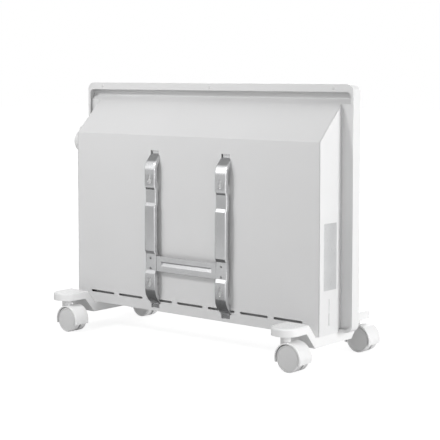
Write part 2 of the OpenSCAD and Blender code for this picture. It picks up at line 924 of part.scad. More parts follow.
// inner is the side, 1 or -1, where the crossbar enters
module bracket_strip(inner) {
    difference() {
        union() {
            translate([-strip_w / 2, 0, 0]) along_x(strip_w) strip_band(bracket_t);
            for (s = [-1, 1])
                difference() {
                    translate([s > 0 ? strip_w / 2 - bracket_t : -strip_w / 2, 0, 0])
                        along_x(bracket_t) strip_band(fold_d);
                    if (s == inner)
                        translate([-strip_w, plate_y, bar_low - 1])
                            cube([2 * strip_w, stand_off, bar_h + 2]);
                }
            for (e = strip_ends)
                tongue(e);
        }
        for (z = key_z)
            translate([0, 0, z]) keyhole_cut();
        for (z = rivet_z)
            translate([0, plate_y, z]) spin_y() cylinder(d = rivet_shank_d + 2 * pressed, h = stand_off);
    }
}

// The tongue passes through the opening and turns along the inner face of the back plate
module tongue(e) {
    back = plate_y - sheet_t - e[6];
    run = 1 / tan(lean);
    outer = lean_end(e, 0);
    inner = lean_end(e, bracket_t);
    translate([-tongue_w / 2, 0, 0])
        along_x(tongue_w)
            polygon([
                outer,
                [back, outer[1] + e[2] * (plate_y - back) * run],
                [back, e[3]],
                [back - bracket_t, e[3]],
                [back - bracket_t, inner[1] + e[2] * (plate_y - back + bracket_t) * run],
                inner
            ]);
}

rivet_shank_d = 3;
rivet_z = [bar_mid - bar_h / 3, bar_mid + bar_h / 3];
bar_y = low_y - bracket_t;

module bracket_strip_left() {
    color(zinc) translate([-strip_gap / 2, 0, 0]) bracket_strip(1);
}

module bracket_strip_right() {
    color(zinc) translate([strip_gap / 2, 0, 0]) bracket_strip(-1);
}

module bracket_crossbar() {
    l = strip_gap + strip_w - 2 * bracket_t - 2 * play;
    rib_d = 2.6;
    t = bracket_t;
    color(zinc)
    difference() {
        union() {
            translate([-l / 2, bar_y - t, bar_mid - bar_h / 2]) cube([l, t, bar_h]);
            translate([-bar_rib_l / 2 - t, 0, 0])
                along_x(bar_rib_l + 2 * t)
                    polygon([
                        [bar_y - t / 2, bar_mid - bar_rib_h / 2 - t],
                        [bar_y - t - rib_d, bar_mid - bar_rib_h / 4 - t / 2],
                        [bar_y - t - rib_d, bar_mid + bar_rib_h / 4 + t / 2],
                        [bar_y - t / 2, bar_mid + bar_rib_h / 2 + t]
                    ]);
        }
        translate([-bar_rib_l / 2, 0, 0])
            along_x(bar_rib_l)
                polygon([
                    [bar_y + 1, bar_mid - bar_rib_h / 2],
                    [bar_y, bar_mid - bar_rib_h / 2],
                    [bar_y - rib_d, bar_mid - bar_rib_h / 4],
                    [bar_y - rib_d, bar_mid + bar_rib_h / 4],
                    [bar_y, bar_mid + bar_rib_h / 2],
                    [bar_y + 1, bar_mid + bar_rib_h / 2]
                ]);
        for (s = [-1, 1], z = rivet_z)
            translate([s * strip_gap / 2, bar_y - 3 * t, z])
                spin_y() cylinder(d = rivet_shank_d + 2 * pressed, h = 5 * t);
    }
}

module bracket_rivets() {
    head_h = 0.9;
    color(steel)
    for (s = [-1, 1], z = rivet_z)
        translate([s * strip_gap / 2, 0, z]) {
            translate([0, low_y, 0]) spin_y() cylinder(d1 = rivet_d, d2 = rivet_d * 0.6, h = head_h);
            translate([0, bar_y - bracket_t - eps, 0])
                spin_y() cylinder(d = rivet_shank_d, h = 2 * bracket_t + 2 * eps);
            translate([0, bar_y - bracket_t - head_h, 0])
                spin_y() cylinder(d1 = rivet_d * 0.6, d2 = rivet_d, h = head_h);
        }
}

// Feet

pad_r = foot_w / 2;
arm_top_y = plate_y + arm_gap;
pad_in_y = arm_top_y + arm_run;
arm_slope = arm_run / (pad_top - case_z);

// Underside of an arm at height z, and the reach of a castor that swings round at the same height
function arm_low(z) = arm_top_y + (z - case_z) * arm_slope + arm_t * sqrt(1 + pow(arm_slope, 2));
function swing(z) = norm([trail + sqrt(max(0, pow(hood_r, 2) - pow(z - axle_z, 2))), hood_w / 2]);
stem_y = max([for (z = [bar_z : 0.5 : axle_z + hood_r]) arm_low(z) + swing(z)]) + swing_gap;

function foot_side() = [
    [arm_top_y, case_z],
    [pad_in_y, pad_top],
    [stem_y + foot_w, pad_top],
    [stem_y + foot_w, pad_z],
    [arm_low(pad_z), pad_z],
    [arm_low(bar_z), bar_z]
];

// Corner strip that leaves a radius when it is cut from an edge
module edge_cut(r) {
    difference() {
        translate([-r, -r]) square([r + 1, r + 1]);
        translate([-r, -r]) circle(r + 2 * eps);
    }
}

// Soft edges along both sides of the line from a to b in the YZ plane
module side_edge_cuts(a, b, over) {
    l = norm(b - a) + over;
    turn = atan2(b[1] - a[1], b[0] - a[0]);
    for (s = [-1, 1])
        translate([s * foot_w / 2, a[0], a[1]])
            rotate([turn, 0, 0])
                mirror([s > 0 ? 0 : 1, 0, 0])
                    along_y(l) edge_cut(soft_r);
}

foot_screw_head_d = 8;
socket_l = pad_t - 3;

module foot() {
    difference() {
        intersection() {
            translate([-foot_w / 2, 0, 0])
                along_x(foot_w)
                    polygon(concat(foot_side(), [for (p = reversed(foot_side())) [-p[0], p[1]]]));
            linear_extrude(pad_top + 1) {
                translate([-foot_w / 2, -stem_y]) square([foot_w, 2 * stem_y]);
                for (s = [-1, 1])
                    translate([0, s * stem_y]) circle(pad_r);
            }
        }
        for (s = [-1, 1])
            mirror([0, s > 0 ? 0 : 1, 0]) {
                side_edge_cuts([arm_top_y, case_z], [pad_in_y, pad_top], 1);
                side_edge_cuts([pad_in_y, pad_top], [stem_y, pad_top], 0);
                translate([0, stem_y, 0])
                    difference() {
                        rotate_extrude() translate([pad_r, pad_top]) edge_cut(soft_r);
                        translate([-foot_w, -foot_w, 0]) cube([2 * foot_w, foot_w, 2 * pad_top]);
                    }
                translate([0, stem_y, pad_z - 1]) cylinder(d = stem_d + 2 * pressed, h = socket_l + 1);
            }
        for (y = [foot_screw_rear, foot_screw_front])
            translate([0, y, bar_z - 1]) {
                cylinder(d = foot_screw_d + 2 * play, h = foot_bar + 2);
                cylinder(d = foot_screw_head_d + 2 * play, h = foot_bar / 2 + 1);
            }
    }
}

module foot_left() {
    color(white_plastic) translate([-foot_x, 0, 0]) foot();
}

module foot_right() {
    color(white_plastic) translate([foot_x, 0, 0]) foot();
}

module foot_screws() {
    head_h = 3;
    seat = bar_z + foot_bar / 2;
    color(steel)
    for (s = [-1, 1], y = [foot_screw_rear, foot_screw_front])
        translate([s * foot_x, y, seat - head_h]) {
            cylinder(d = foot_screw_head_d, h = head_h);
            cylinder(d = foot_screw_d, h = case_z + 2 * sheet_t + 3 - seat + head_h);
        }
}

// Castors: each is drawn round its stem, with the wheels trailing towards -X

boss_gap = 0.5;
stem_bottom = axle_z + sqrt(pow(hood_r, 2) - pow(trail, 2)) - 1;
hub_d = axle_d + 6;

// side is 1 for a castor on the right and -1 on the left; end is 1 at the back and -1 at the front
module at_castor(side, end) {
    translate([side * foot_x, end * stem_y, 0]) children();
}

module castor_stem() {
    color(steel)
    translate([0, 0, stem_bottom + play])
        cylinder(d = stem_d, h = pad_z + socket_l - play - stem_bottom - play);
}

module hood_ring() {
    soft = hood_t * 0.8;
    w = hood_w / 2;
    rotate_extrude() {
        translate([hood_r - hood_t, -w]) square([hood_t - soft, hood_w]);
        translate([hood_r - hood_t, -w + soft]) square([hood_t, hood_w - 2 * soft]);
        for (s = [-1, 1])
            intersection() {
                translate([hood_r - soft, s * (w - soft)]) circle(soft);
                translate([hood_r - hood_t, -w]) square([hood_t, hood_w]);
            }
    }
}

module castor_body() {
    r_in = hood_r - hood_t;
    boss_top = pad_z - boss_gap;
    color(white_plastic)
    difference() {
        union() {
            difference() {
                union() {
                    translate([-trail, 0, axle_z]) spin_y() hood_ring();
                    difference() {
                        translate([0, 0, axle_z]) cylinder(d = boss_d, h = boss_top - axle_z);
                        translate([-trail, -hood_w, axle_z])
                            spin_y() cylinder(r = r_in, h = 2 * hood_w);
                    }
                }
                translate([-trail - 2 * hood_r, -hood_w, -2 * hood_r])
                    cube([4 * hood_r, 2 * hood_w, 2 * hood_r + hood_end]);
            }
            intersection() {
                translate([-trail, -web_t / 2, axle_z]) spin_y() cylinder(r = r_in + hood_t / 2, h = web_t);
                translate([-trail - 2 * hood_r, -hood_w, hood_end]) cube([4 * hood_r, 2 * hood_w, 2 * hood_r]);
            }
            translate([-trail, -web_t / 2, axle_z]) spin_y() cylinder(d = hub_d, h = web_t);
        }
        translate([0, 0, stem_bottom]) cylinder(d = stem_d + 2 * running, h = pad_z);
        translate([-trail, -hood_w, axle_z]) spin_y() cylinder(d = axle_d + 2 * pressed, h = 2 * hood_w);
    }
}

wheel_in = web_t / 2 + wheel_gap;
disc_t = 3;
axle_end = wheel_in + wheel_w - disc_t;

module castor_axle() {
    color(steel)
    translate([-trail, -axle_end, axle_z]) spin_y() cylinder(d = axle_d, h = 2 * axle_end);
}

// One wheel: a plain outer disc with a bevelled rim, hollow towards the web
module castor_wheel(side) {
    r = wheel_d / 2;
    rim = 4;
    hub_r = axle_d / 2 + 2.5;
    color(white_plastic)
    translate([-trail, 0, axle_z])
        mirror([0, side > 0 ? 0 : 1, 0])
            translate([0, wheel_in, 0])
                spin_y() rotate_extrude()
                    difference() {
                        polygon([
                            [0, wheel_w],
                            [r - wheel_bevel, wheel_w],
                            [r, wheel_w - wheel_bevel],
                            [r, 0.6],
                            [r - 0.6, 0],
                            [0, 0]
                        ]);
                        translate([hub_r, -1]) square([r - rim - hub_r, wheel_w - disc_t + 1]);
                        translate([-1, -1]) square([axle_d / 2 + running + 1, wheel_w - disc_t + 0.5 + 1]);
                    }
}

module castor_rl_stem() { at_castor(-1, 1) castor_stem(); }
module castor_rl_body() { at_castor(-1, 1) castor_body(); }
module castor_rl_axle() { at_castor(-1, 1) castor_axle(); }
module castor_rl_wheel_a() { at_castor(-1, 1) castor_wheel(1); }
module castor_rl_wheel_b() { at_castor(-1, 1) castor_wheel(-1); }
module castor_rr_stem() { at_castor(1, 1) castor_stem(); }
module castor_rr_body() { at_castor(1, 1) castor_body(); }
module castor_rr_axle() { at_castor(1, 1) castor_axle(); }
module castor_rr_wheel_a() { at_castor(1, 1) castor_wheel(1); }
module castor_rr_wheel_b() { at_castor(1, 1) castor_wheel(-1); }
module castor_fl_stem() { at_castor(-1, -1) castor_stem(); }
module castor_fl_body() { at_castor(-1, -1) castor_body(); }
module castor_fl_axle() { at_castor(-1, -1) castor_axle(); }
module castor_fl_wheel_a() { at_castor(-1, -1) castor_wheel(1); }
module castor_fl_wheel_b() { at_castor(-1, -1) castor_wheel(-1); }
module castor_fr_stem() { at_castor(1, -1) castor_stem(); }
module castor_fr_body() { at_castor(1, -1) castor_body(); }
module castor_fr_axle() { at_castor(1, -1) castor_axle(); }
module castor_fr_wheel_a() { at_castor(1, -1) castor_wheel(1); }
module castor_fr_wheel_b() { at_castor(1, -1) castor_wheel(-1); }

front_panel();
outlet_grille();
back_cover();
side_panel_left();
side_panel_right();
bottom_plate();
panel_clips();
lip_screws();
heat_shield();
heating_element();
element_insulators();
element_brackets();
thermal_cutout();
terminal_block();
tilt_switch();
thermostat_body();
switch_housing();
rocker_pin();
control_bezel();
cord_gland();
thermostat_spindle();
thermostat_knob();
power_rocker();
bracket_strip_left();
bracket_strip_right();
bracket_crossbar();
bracket_rivets();
foot_left();
foot_right();
foot_screws();
castor_rl_stem();
castor_rl_body();
castor_rl_axle();
castor_rl_wheel_a();
castor_rl_wheel_b();
castor_rr_stem();
castor_rr_body();
castor_rr_axle();
castor_rr_wheel_a();
castor_rr_wheel_b();
castor_fl_stem();
castor_fl_body();
castor_fl_axle();
castor_fl_wheel_a();
castor_fl_wheel_b();
castor_fr_stem();
castor_fr_body();
castor_fr_axle();
castor_fr_wheel_a();
castor_fr_wheel_b();
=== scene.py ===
import json
import math

import bmesh
import bpy
from mathutils import Matrix, Vector


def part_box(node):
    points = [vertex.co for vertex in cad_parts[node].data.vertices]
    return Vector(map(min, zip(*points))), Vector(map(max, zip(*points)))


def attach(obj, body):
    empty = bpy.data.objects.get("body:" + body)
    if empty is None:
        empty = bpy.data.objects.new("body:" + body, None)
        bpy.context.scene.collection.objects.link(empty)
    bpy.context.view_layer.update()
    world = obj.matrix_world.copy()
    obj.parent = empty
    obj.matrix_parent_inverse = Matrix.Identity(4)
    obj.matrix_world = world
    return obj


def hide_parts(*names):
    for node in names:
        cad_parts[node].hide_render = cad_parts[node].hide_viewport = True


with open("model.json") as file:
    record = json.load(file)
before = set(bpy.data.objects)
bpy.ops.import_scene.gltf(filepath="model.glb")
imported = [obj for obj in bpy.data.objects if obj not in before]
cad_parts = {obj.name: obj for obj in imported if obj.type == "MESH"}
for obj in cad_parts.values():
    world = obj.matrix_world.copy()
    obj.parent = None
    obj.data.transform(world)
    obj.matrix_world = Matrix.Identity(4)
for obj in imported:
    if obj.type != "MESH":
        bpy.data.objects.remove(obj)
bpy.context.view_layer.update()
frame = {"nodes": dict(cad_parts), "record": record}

scene = bpy.context.scene
nodes = frame["nodes"]
slotOf = {part["node"]: part["material_slot"] for part in frame["record"]["subparts"]}
castorEnds = ("rl", "rr", "fl", "fr")
mm = 0.001
toBack = Matrix.Rotation(-math.pi / 2, 4, "X")  # turns +Z to +Y, out of the heater's back


# camera, at the photograph's angle

cameraSpot = {
    "place": (-1.43724, 1.67536, 0.46227),  # m
    "turn": 39.9751,      # degrees from straight behind towards the left side
    "lookDown": 4.1925,   # degrees
    "lens": 105.0204,     # mm
    "sensor": 36,         # mm
    "shiftUp": -0.12,     # share of the picture's width
    "clip": (0.05, 50),   # m
}


def placeCamera(spot):
    data = bpy.data.cameras.new("camera")
    data.sensor_width = spot["sensor"]
    data.lens = spot["lens"]
    data.shift_y = spot["shiftUp"]
    data.clip_start, data.clip_end = spot["clip"]
    camera = bpy.data.objects.new("camera", data)
    camera.location = spot["place"]
    camera.rotation_euler = (math.radians(90 - spot["lookDown"]), 0,
                             math.radians(180 + spot["turn"]))
    scene.collection.objects.link(camera)
    scene.camera = camera


placeCamera(cameraSpot)
print("camera placed")


# node helpers for the materials

noiseBand = (0.3, 0.7)  # values of the noise between which colours and roughness change


def grey(level):
    return (level, level, level, 1)


def startMaterial(name, values):
    material = bpy.data.materials.new(name)
    material.use_nodes = True
    tree = material.node_tree
    shader = tree.nodes["Principled BSDF"]
    shader.inputs["Metallic"].default_value = values.get("metallic", 0)
    shader.inputs["Roughness"].default_value = values["roughness"]
    shader.inputs["IOR"].default_value = 1.5
    coords = tree.nodes.new("ShaderNodeTexCoord").outputs["Object"]
    return material, tree, shader, coords


def addNoise(tree, coords, scale, detail, stretch=(1, 1, 1)):
    mapping = tree.nodes.new("ShaderNodeMapping")
    mapping.inputs["Scale"].default_value = stretch
    noise = tree.nodes.new("ShaderNodeTexNoise")
    noise.inputs["Scale"].default_value = scale
    noise.inputs["Detail"].default_value = detail
    tree.links.new(coords, mapping.inputs["Vector"])
    tree.links.new(mapping.outputs["Vector"], noise.inputs["Vector"])
    return noise.outputs["Fac"]


def tint(tree, shader, factor, colours):
    ramp = tree.nodes.new("ShaderNodeValToRGB")
    for stop, place, colour in zip(ramp.color_ramp.elements, noiseBand, colours):
        stop.position = place
        stop.color = (*colour, 1)
    tree.links.new(factor, ramp.inputs["Fac"])
    tree.links.new(ramp.outputs["Color"], shader.inputs["Base Color"])


def varyRoughness(tree, shader, factor, spread):
    middle = shader.inputs["Roughness"].default_value
    rangeNode = tree.nodes.new("ShaderNodeMapRange")
    rangeNode.inputs["From Min"].default_value = noiseBand[0]
    rangeNode.inputs["From Max"].default_value = noiseBand[1]
    rangeNode.inputs["To Min"].default_value = middle - spread
    rangeNode.inputs["To Max"].default_value = middle + spread
    tree.links.new(factor, rangeNode.inputs["Value"])
    tree.links.new(rangeNode.outputs["Result"], shader.inputs["Roughness"])


def addBump(tree, shader, height, depth):
    bump = tree.nodes.new("ShaderNodeBump")
    bump.inputs["Strength"].default_value = 1
    bump.inputs["Distance"].default_value = depth
    tree.links.new(height, bump.inputs["Height"])
    tree.links.new(bump.outputs["Normal"], shader.inputs["Normal"])


def makeSurface(name, values):
    # wide clouds of noise for the colour, a fine grain for the roughness and the bump
    material, tree, shader, coords = startMaterial(name, values)
    clouds = addNoise(tree, coords, values["clouds"], values["cloudDetail"])
    grain = addNoise(tree, coords, values["grain"], values["grainDetail"],
                     values.get("stretch", (1, 1, 1)))
    tint(tree, shader, clouds, values["colours"])
    varyRoughness(tree, shader, grain, values["spread"])
    addBump(tree, shader, grain, values["depth"])
    return material


# finishes: "clouds" and "grain" are scales of noise, "spread" is how far the roughness varies
# and "depth" is the height of the grain in m

paintGrain = {"clouds": 6, "cloudDetail": 2, "grain": 620, "grainDetail": 2, "spread": 0.04,
              "depth": 0.00004}
paintValues = {
    "panel": {"colours": ((0.77, 0.77, 0.77), (0.79, 0.79, 0.79)), "roughness": 0.36},
    "case": {"colours": ((0.765, 0.765, 0.767), (0.785, 0.785, 0.787)), "roughness": 0.4},
    "screw": {"colours": ((0.72, 0.72, 0.72), (0.76, 0.76, 0.76)), "roughness": 0.38},
}


def powderPaint(name):
    return makeSurface(name + "Paint", {**paintGrain, **paintValues[name]})


plasticGrain = {"clouds": 9, "cloudDetail": 2, "grainDetail": 3, "spread": 0.05}
plasticValues = {
    "foot": {"colours": ((0.85, 0.85, 0.85), (0.88, 0.88, 0.88)), "roughness": 0.24,
             "grain": 1400, "depth": 0.000012},
    "white": {"colours": ((0.80, 0.80, 0.80), (0.83, 0.83, 0.83)), "roughness": 0.36,
              "grain": 1700, "depth": 0.00002},
    "castor": {"colours": ((0.85, 0.85, 0.85), (0.88, 0.88, 0.88)), "roughness": 0.22,
               "grain": 500, "depth": 0.000003},
    "wheel": {"colours": ((0.70, 0.70, 0.70), (0.74, 0.74, 0.74)), "roughness": 0.38,
              "grain": 900, "depth": 0.00002},
    "grille": {"colours": ((0.018, 0.018, 0.02), (0.026, 0.026, 0.028)), "roughness": 0.5,
               "grain": 1200, "depth": 0.00003},
    "black": {"colours": ((0.018, 0.018, 0.019), (0.03, 0.03, 0.031)), "roughness": 0.42,
              "grain": 1500, "depth": 0.00003},
    "ceramic": {"colours": ((0.70, 0.66, 0.56), (0.78, 0.75, 0.66)), "roughness": 0.25,
                "grain": 260, "depth": 0.00005},
}


def mouldedPlastic(name):
    return makeSurface(name + "Plastic", {**plasticGrain, **plasticValues[name]})


metalGrain = {"clouds": 60, "cloudDetail": 4, "grainDetail": 3, "metallic": 1}
metalValues = {
    "zinc": {"colours": ((0.57, 0.573, 0.58), (0.61, 0.613, 0.62)), "roughness": 0.24,
             "metallic": 0.88, "spread": 0.012, "grain": 200, "stretch": (4, 4, 0.3),
             "depth": 0.000001},
    "rivet": {"colours": ((0.30, 0.305, 0.31), (0.36, 0.365, 0.37)), "roughness": 0.3,
              "metallic": 0.6, "spread": 0.06, "grain": 500, "depth": 0.00003},
    "steel": {"colours": ((0.38, 0.385, 0.39), (0.50, 0.505, 0.51)), "roughness": 0.34,
              "spread": 0.06, "grain": 300, "stretch": (1, 4, 4), "depth": 0.00003},
    "shield": {"colours": ((0.66, 0.67, 0.68), (0.76, 0.77, 0.78)), "roughness": 0.22,
               "spread": 0.05, "grain": 200, "stretch": (0.3, 5, 5), "depth": 0.00002},
    "fins": {"colours": ((0.52, 0.53, 0.54), (0.62, 0.63, 0.64)), "roughness": 0.45,
             "spread": 0.06, "grain": 300, "stretch": (0.2, 5, 5), "depth": 0.00004},
}


def bareMetal(name):
    return makeSurface(name + "Metal", {**metalGrain, **metalValues[name]})


finishes = {
    "panel_paint": powderPaint("panel"),
    "case_paint": powderPaint("case"),
    "screw_paint": powderPaint("screw"),
    "grille_plastic": mouldedPlastic("grille"),
    "bracket_zinc": bareMetal("zinc"),
    "rivet_steel": bareMetal("rivet"),
    "foot_plastic": mouldedPlastic("foot"),
    "white_plastic": mouldedPlastic("white"),
    "castor_plastic": mouldedPlastic("castor"),
    "wheel_plastic": mouldedPlastic("wheel"),
    "inner_steel": bareMetal("steel"),
    "shield_alloy": bareMetal("shield"),
    "element_alloy": bareMetal("fins"),
    "ceramic": mouldedPlastic("ceramic"),
    "black_plastic": mouldedPlastic("black"),
}

for name, finish in slotOf.items():
    for slot in nodes[name].material_slots:
        slot.material = finishes[finish]
print("finishes set on", len(slotOf), "nodes")


# helpers for the pieces of the scene; their lengths are in mm

def meshObject(name, mesh):
    data = bpy.data.meshes.new(name)
    mesh.to_mesh(data)
    mesh.free()
    made = bpy.data.objects.new(name, data)
    scene.collection.objects.link(made)
    return made


def finishPiece(name, mesh, body, slot, material=None, smooth=30, outward=True):
    if outward:
        bmesh.ops.recalc_face_normals(mesh, faces=mesh.faces)
    piece = meshObject(name, mesh)
    piece.data.materials.append(material or finishes[slot])
    piece.data.shade_smooth()
    piece.data.set_sharp_from_angle(angle=math.radians(smooth))
    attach(piece, body)
    return piece


def spinProfile(mesh, points, steps=48):
    # points are (radius, height) pairs, turned round the Z axis
    verts = [mesh.verts.new((r * mm, 0, h * mm)) for r, h in points]
    edges = [mesh.edges.new(pair) for pair in zip(verts, verts[1:])]
    bmesh.ops.spin(mesh, geom=verts + edges, cent=(0, 0, 0), axis=(0, 0, 1), dvec=(0, 0, 0),
                   angle=math.tau, steps=steps, use_merge=True)
    bmesh.ops.remove_doubles(mesh, verts=mesh.verts, dist=0.001 * mm)


def addBar(mesh, size, middle, turn=0):
    place = (Matrix.Translation(Vector(middle) * mm) @ Matrix.Rotation(turn, 4, "Z")
             @ Matrix.Diagonal((size[0] * mm, size[1] * mm, size[2] * mm, 1)))
    bmesh.ops.create_cube(mesh, size=1, matrix=place)


def joinTo(mesh, added):
    data = bpy.data.meshes.new("added")
    added.to_mesh(data)
    added.free()
    mesh.from_mesh(data)
    bpy.data.meshes.remove(data)


def cutWith(mesh, cutter):
    # cuts one bmesh with another and gives back the result
    for shape in (mesh, cutter):
        bmesh.ops.recalc_face_normals(shape, faces=shape.faces)
    holders = [meshObject("whole", mesh), meshObject("cutter", cutter)]
    cut = holders[0].modifiers.new("cut", "BOOLEAN")
    cut.operation = "DIFFERENCE"
    cut.solver = "EXACT"
    cut.use_self = True
    cut.object = holders[1]
    result = bmesh.new()
    result.from_object(holders[0], bpy.context.evaluated_depsgraph_get())
    for holder in holders:
        bpy.data.objects.remove(holder)
    return result


# rounding of the visible nodes of sheet, strip and moulding, in mm: "edge" for sharp edges and
# "fold" for folded ones; faces that meet below "smooth" degrees shade as one surface
dressed = {
    "bracket_strip_left": {"edge": 0.35, "fold": 2, "smooth": 12},
    "bracket_strip_right": {"edge": 0.35, "fold": 2, "smooth": 12},
    "bracket_crossbar": {"edge": 0.4, "smooth": 20},
    "front_panel": {"edge": 0.45, "smooth": 25},
    "back_cover": {"edge": 0.45, "fold": 2, "smooth": 25},
    "side_panel_left": {"edge": 0.4, "smooth": 25},
    "side_panel_right": {"edge": 0.4, "smooth": 25},
    "foot_left": {"edge": 0.8, "smooth": 25},
    "foot_right": {"edge": 0.8, "smooth": 25},
    "control_bezel": {"edge": 0.5, "smooth": 25},
}
for end in castorEnds:
    dressed["castor_" + end + "_body"] = {"edge": 0.4, "smooth": 35, "body": "castor_" + end}

# vertices within "merge" mm and faces that meet below "flat" degrees become one, and edges above
# "sharp" degrees are rounded
rounding = {"merge": 0.002, "flat": 0.5, "sharp": 30, "segments": 3, "foldSegments": 5,
            "weight": 90, "stripWeight": 50}
stripFold = {
    "sideways": 0.9, "level": 0.1, "outward": 0.3,  # parts of the normals of the faces at a fold
    "offSide": 0.1, "besideBar": 4,                 # mm; nothing is folded beside the crossbar
}
coverFold = {"long": 200, "angle": 60}  # over this long in mm and under this angle in degrees
# "below" is a place along Y and "middle" a height; all are in mm but the factor "narrow"
ribFloor = {"below": 50, "middle": 132.8, "narrow": 0.25, "up": 1.2, "deeper": 0.2}


def isStripFold(edge, strip, bar):
    # an edge between a strip's outer face and its side; strip and bar are the boxes of both nodes
    side = [face for face in edge.link_faces if abs(face.normal.x) > stripFold["sideways"]]
    outer = [face for face in edge.link_faces if abs(face.normal.x) < stripFold["level"]
             and face.normal.y > stripFold["outward"]]
    place = (edge.verts[0].co + edge.verts[1].co) / 2
    offSide = min(abs(place.x - strip[0].x), abs(place.x - strip[1].x))
    room = stripFold["besideBar"] * mm
    besideBar = (abs(place.x) < abs(strip[0].x + strip[1].x) / 2
                 and bar[0].z - room < place.z < bar[1].z + room)
    return bool(side and outer and offSide < stripFold["offSide"] * mm and not besideBar)


def isCoverFold(edge):
    long = abs(edge.verts[0].co.x - edge.verts[1].co.x) > coverFold["long"] * mm
    return long and edge.calc_face_angle() < math.radians(coverFold["angle"])


def markFolds(mesh, name, values):
    # full rounding on the folded edges and a small one on the other sharp edges
    own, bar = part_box(name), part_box("bracket_crossbar")
    weights = mesh.edges.layers.float.new("bevel_weight_edge")
    for edge in mesh.edges:
        if len(edge.link_faces) != 2 or edge.calc_face_angle() < math.radians(rounding["sharp"]):
            continue
        folded = isCoverFold(edge) if name == "back_cover" else isStripFold(edge, own, bar)
        edge[weights] = 1 if folded else values["edge"] / values["fold"]


def shapeRib(mesh, values):
    # the pressed rib's floor narrows, moves up and goes deeper, so that its walls slope
    for vert in mesh.verts:
        if vert.co.y < values["below"] * mm:
            vert.co.z = (values["middle"] + (vert.co.z / mm - values["middle"]) * values["narrow"]
                         + values["up"]) * mm
            vert.co.y -= values["deeper"] * mm


def dressNode(name, values):
    # a merged copy of the node, with rounded edges
    isStrip = name.startswith("bracket_strip")
    mesh = bmesh.new()
    mesh.from_mesh(nodes[name].data)
    bmesh.ops.remove_doubles(mesh, verts=mesh.verts, dist=rounding["merge"] * mm)
    bmesh.ops.dissolve_limit(mesh, angle_limit=math.radians(rounding["flat"]), verts=mesh.verts,
                             edges=mesh.edges, use_dissolve_boundaries=False)
    if "fold" in values:
        markFolds(mesh, name, values)
    if name == "bracket_crossbar":
        shapeRib(mesh, ribFloor)
    piece = finishPiece(name + "_dressed", mesh, values.get("body", "case"), slotOf[name],
                        smooth=values["smooth"], outward=False)
    bevel = piece.modifiers.new("bevel", "BEVEL")
    bevel.width = values.get("fold", values["edge"]) * mm
    bevel.segments = rounding["foldSegments" if "fold" in values else "segments"]
    bevel.limit_method = "WEIGHT" if "fold" in values else "ANGLE"
    bevel.angle_limit = math.radians(rounding["sharp"])
    bevel.use_clamp_overlap = not isStrip
    # flat faces keep their own normals beside the bends
    flat = piece.modifiers.new("flat", "WEIGHTED_NORMAL")
    flat.mode = "FACE_AREA"
    flat.weight = rounding["stripWeight" if isStrip else "weight"]
    flat.keep_sharp = True
    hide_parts(name)


for name, values in dressed.items():
    dressNode(name, values)
print("nodes dressed")


# bare plate in the place of the printed label; lengths in mm
labelPlate = {
    "side": -272.5, "y": (-3.5, 31), "z": (118, 225), "thick": 0.3, "corner": 1.5,
    "colours": ((0.58, 0.585, 0.59), (0.64, 0.645, 0.65)), "roughness": 0.32, "metallic": 0.25,
    "clouds": 25, "cloudDetail": 2, "grain": 500, "grainDetail": 2, "stretch": (1, 4, 0.2),
    "spread": 0.05, "depth": 0.00001,
}


def makeLabelPlate(values):
    y0, y1 = values["y"]
    z0, z1 = values["z"]
    mesh = bmesh.new()
    addBar(mesh, (values["thick"], y1 - y0, z1 - z0),
           (values["side"] - values["thick"] / 2, (y0 + y1) / 2, (z0 + z1) / 2))
    corners = [e for e in mesh.edges if abs(e.verts[0].co.x - e.verts[1].co.x) > 0.1 * mm]
    bmesh.ops.bevel(mesh, geom=corners, offset=values["corner"] * mm, segments=6, profile=0.5,
                    affect="EDGES", material=-1)
    finishPiece("label_plate", mesh, "case", "case_paint", makeSurface("plateFoil", values))


makeLabelPlate(labelPlate)


# domed screw heads with a cross recess; lengths in mm
screwHeads = {"across": 6, "high": 1.3, "edge": 0.12, "shank": 3, "reach": 10,
              "cross": 3.2, "crossWide": 0.8, "crossDeep": 0.7, "crossTurn": 0.4}


def crossHead(values):
    r, h, shank = values["across"] / 2, values["high"], values["shank"] / 2
    head = bmesh.new()
    spinProfile(head, [(0, h), (r * 0.35, h * 0.98), (r * 0.7, h * 0.82), (r * 0.93, h * 0.45),
                       (r, values["edge"]), (r, 0), (shank, 0), (shank, -values["reach"]),
                       (0, -values["reach"])])
    cross = bmesh.new()
    size = (values["cross"], values["crossWide"], 2 * values["crossDeep"])
    for turn in (values["crossTurn"], values["crossTurn"] + math.pi / 2):
        addBar(cross, size, (0, 0, h), turn)
    return cutWith(head, cross)


def makeLipScrews(values):
    mesh = bmesh.new()
    low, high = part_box("lip_screws")
    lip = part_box("front_panel")[1].y  # outer face of the lip
    r = values["across"] / 2 * mm
    for x in (low.x + r, 0, high.x - r):
        head = crossHead(values)
        head.transform(Matrix.Translation((x, lip, (low.z + high.z) / 2)) @ toBack)
        joinTo(mesh, head)
    piece = finishPiece("lip_screw_heads", mesh, "case", "screw_paint")
    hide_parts("lip_screws")


makeLipScrews(screwHeads)


# wheel with a domed disc inside a raised ring; lengths in mm, heights from the face next to
# the web
wheelShape = {"radius": 21.75, "wide": 13, "bevel": 2, "dome": 1.1, "bore": 2.55, "hub": 5,
              "rim": 4, "disc": 3, "soft": 0.4, "ring": 0.3, "groove": 0.5, "slope": 0.15,
              "innerEdge": 0.6, "boreOver": 0.5, "steps": 96, "domeSteps": 8}


